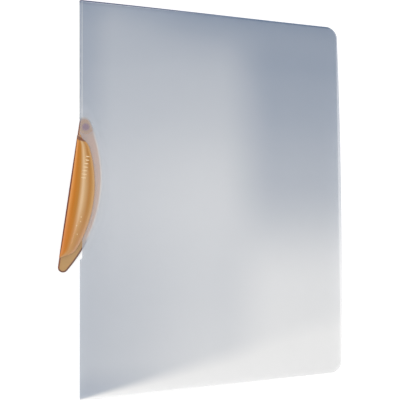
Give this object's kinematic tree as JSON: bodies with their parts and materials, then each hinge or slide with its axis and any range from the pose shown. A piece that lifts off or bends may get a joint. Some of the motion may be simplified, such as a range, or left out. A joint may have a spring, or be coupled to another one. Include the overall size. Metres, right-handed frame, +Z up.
{
  "type": "clip folder",
  "caption": "A4 clip folder of folded frosted film with a translucent orange clip that swings out of the spine to hold loose sheets.",
  "frame": {"origin": "middle of the back cover's underside, on which the folder lies", "axes": "+Z up through the covers, +X from the spine to the fore edge, +Y to the top edge"},
  "size_m": [0.2406, 0.31, 0.0059],
  "materials": {
    "frosted_film": "frosted translucent film, soft sheen",
    "rivet_plastic": "plain moulded",
    "orange_plastic": "translucent, polished"
  },
  "bodies": {
    "folder": {"film_sheet": "frosted_film", "pivot_rivet": "rivet_plastic"},
    "clip": {"swing_clip": "orange_plastic"}
  },
  "joints": [
    {"name": "clip_swing", "type": "hinge", "parent": "folder", "child": "clip", "pos_m": [-0.1075, 0.0555, 0.0013], "axis": [0, 0, -1], "range_deg": [-8, 82]}
  ]
}
